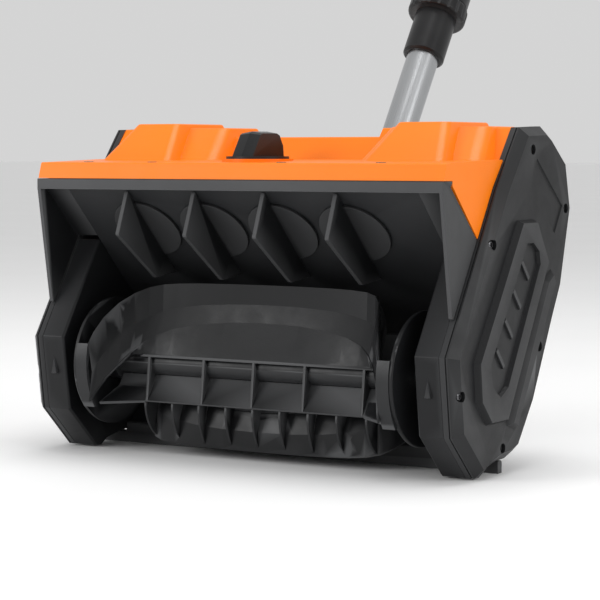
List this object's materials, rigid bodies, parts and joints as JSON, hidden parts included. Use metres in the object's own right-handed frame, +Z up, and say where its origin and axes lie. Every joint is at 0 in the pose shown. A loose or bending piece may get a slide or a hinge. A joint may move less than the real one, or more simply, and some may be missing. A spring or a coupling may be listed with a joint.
{
  "type": "single stage snowblower",
  "caption": "Battery powered snow shovel head on a pole: horizontal paddle auger throws snow out of a wide chute steered by upright vanes.",
  "frame": {"origin": "centre of the scraper bar's flat underside, on the ground line", "axes": "+Z up, -Y is the front that meets the snow, +X to the right seen from the front; the pole rises towards +Y"},
  "size_m": [0.3584, 0.7722, 1.0209],
  "materials": {
    "orange_shell": "satin gloss moulded",
    "black_shell": "fine textured moulded",
    "black_cover": "satin moulded",
    "auger_plastic": "smooth moulded nylon",
    "vane_plastic": "smooth moulded",
    "lip_plastic": "smooth moulded",
    "pole_aluminium": "satin anodised",
    "collar_black": "satin moulded",
    "screw_steel": "bright zinc",
    "shaft_steel": "ground",
    "scraper_plastic": "smooth wear strip",
    "rubber_black": "matt rubber",
    "motor_metal": "painted can",
    "circuit_green": "potted board",
    "copper_core": "wound core",
    "lead_sheath": "cable sheath"
  },
  "bodies": {
    "head": {"auger_housing": "black_shell", "scraper_bar": "scraper_plastic", "chute_hood": "lip_plastic", "casing_right": "black_shell", "casing_left": "black_shell", "cover_right": "black_cover", "cover_left": "black_cover", "cover_screws": "screw_steel", "top_cover": "orange_shell", "top_cover_screws": "screw_steel", "rear_cover": "black_shell", "bearing_left": "shaft_steel", "bearing_right": "shaft_steel", "drive_belt": "rubber_black", "idler_pin": "shaft_steel", "motor_can": "motor_metal", "motor_bracket": "motor_metal", "controller": "circuit_green", "pole_socket": "black_shell", "socket_bolts": "screw_steel", "lower_tube": "pole_aluminium", "pole_collar": "collar_black", "coupling_sleeve": "collar_black", "upper_tube": "pole_aluminium", "power_lead": "lead_sheath", "aux_clamp": "black_shell", "aux_bolt": "screw_steel", "grip_right": "black_cover", "grip_left": "black_cover", "grip_screws": "screw_steel", "trigger_switch": "vane_plastic"},
    "auger": {"auger_shaft": "shaft_steel", "auger_blade_a": "auger_plastic", "auger_blade_b": "auger_plastic", "auger_disc_left": "auger_plastic", "auger_disc_right": "auger_plastic", "auger_pulley": "vane_plastic"},
    "rotor": {"motor_rotor": "copper_core", "motor_pulley": "shaft_steel"},
    "idler": {"idler_roller": "vane_plastic"},
    "vane_1": {"vane_1": "vane_plastic", "vane_crank_1": "vane_plastic"},
    "vane_2": {"vane_2": "vane_plastic", "vane_crank_2": "vane_plastic"},
    "vane_3": {"vane_3": "vane_plastic", "vane_crank_3": "vane_plastic"},
    "vane_4": {"vane_4": "vane_plastic", "vane_crank_4": "vane_plastic"},
    "tie_bar": {"tie_bar": "vane_plastic"},
    "lever": {"lever_knob": "collar_black", "lever_arm": "vane_plastic"},
    "lock_ring": {"lock_ring": "collar_black"},
    "aux_handle": {"aux_handle": "screw_steel", "aux_grip": "rubber_black"},
    "aux_knob": {"aux_knob": "collar_black"},
    "trigger": {"trigger": "orange_shell"},
    "lock_button": {"lock_button": "orange_shell"},
    "battery": {"battery_pack": "black_cover"},
    "battery_latch": {"battery_latch": "orange_shell"}
  },
  "joints": [
    {"name": "auger_spin", "type": "hinge", "parent": "head", "child": "auger", "pos_m": [0, -0.036, 0.065], "axis": [1, 0, 0], "continuous": true},
    {"name": "motor_spin", "type": "hinge", "parent": "head", "child": "rotor", "pos_m": [0.06, 0.047, 0.165], "axis": [1, 0, 0], "continuous": true},
    {"name": "idler_spin", "type": "hinge", "parent": "head", "child": "idler", "pos_m": [0.158, -0.019, 0.1356], "axis": [1, 0, 0], "continuous": true},
    {"name": "lever_turn", "type": "hinge", "parent": "head", "child": "lever", "pos_m": [-0.003, -0.037, 0.2], "axis": [0, 0, 1], "range_deg": [-28, 28]},
    {"name": "vane_1_turn", "type": "hinge", "parent": "head", "child": "vane_1", "pos_m": [-0.0916, -0.04398, 0.16301], "axis": [0, 0.7133, 0.7009], "range_deg": [-28, 28]},
    {"name": "vane_2_turn", "type": "hinge", "parent": "head", "child": "vane_2", "pos_m": [-0.0341, -0.04398, 0.16301], "axis": [0, 0.7133, 0.7009], "range_deg": [-28, 28]},
    {"name": "vane_3_turn", "type": "hinge", "parent": "head", "child": "vane_3", "pos_m": [0.0234, -0.04398, 0.16301], "axis": [0, 0.7133, 0.7009], "range_deg": [-28, 28]},
    {"name": "vane_4_turn", "type": "hinge", "parent": "head", "child": "vane_4", "pos_m": [0.0809, -0.04398, 0.16301], "axis": [0, 0.7133, 0.7009], "range_deg": [-28, 28]},
    {"name": "tie_bar_link", "type": "hinge", "parent": "vane_2", "child": "tie_bar", "pos_m": [-0.0341, -0.0552, 0.17442], "axis": [0, 0.7133, 0.7009], "range_deg": [-28, 28]},
    {"name": "lock_ring_turn", "type": "hinge", "parent": "head", "child": "lock_ring", "pos_m": [0, 0.21581, 0.3256], "axis": [0, 0.5446, 0.8387], "range_deg": [0, 60]},
    {"name": "aux_handle_tilt", "type": "hinge", "parent": "head", "child": "aux_handle", "pos_m": [0, 0.36024, 0.60859], "axis": [1, 0, 0], "range_deg": [-45, 45]},
    {"name": "aux_knob_turn", "type": "hinge", "parent": "head", "child": "aux_knob", "pos_m": [0.025, 0.36024, 0.60859], "axis": [1, 0, 0], "range_deg": [0, 360]},
    {"name": "trigger_pull", "type": "slide", "parent": "head", "child": "trigger", "axis": [0, -0.8387, 0.5446], "range_m": [0, 0.005], "stiffness_N_per_m": 600, "springref_m": -0.003},
    {"name": "lock_button_press", "type": "slide", "parent": "head", "child": "lock_button", "axis": [0, 0.8387, -0.5446], "range_m": [0, 0.003], "stiffness_N_per_m": 400, "springref_m": -0.002},
    {"name": "battery_slide", "type": "slide", "parent": "head", "child": "battery", "axis": [0, 0.5446, 0.8387], "range_m": [0, 0.06]},
    {"name": "battery_latch_press", "type": "slide", "parent": "battery", "child": "battery_latch", "axis": [0, 0.8387, -0.5446], "range_m": [0, 0.0025], "stiffness_N_per_m": 400, "springref_m": -0.002}
  ],
  "couplings": [
    {"joint": "motor_spin", "follows": "auger_spin", "ratio": 3.4286},
    {"joint": "idler_spin", "follows": "auger_spin", "ratio": -4.31},
    {"joint": "vane_1_turn", "follows": "lever_turn", "ratio": 1},
    {"joint": "vane_2_turn", "follows": "lever_turn", "ratio": 1},
    {"joint": "vane_3_turn", "follows": "lever_turn", "ratio": 1},
    {"joint": "vane_4_turn", "follows": "lever_turn", "ratio": 1},
    {"joint": "tie_bar_link", "follows": "lever_turn", "ratio": -1}
  ]
}
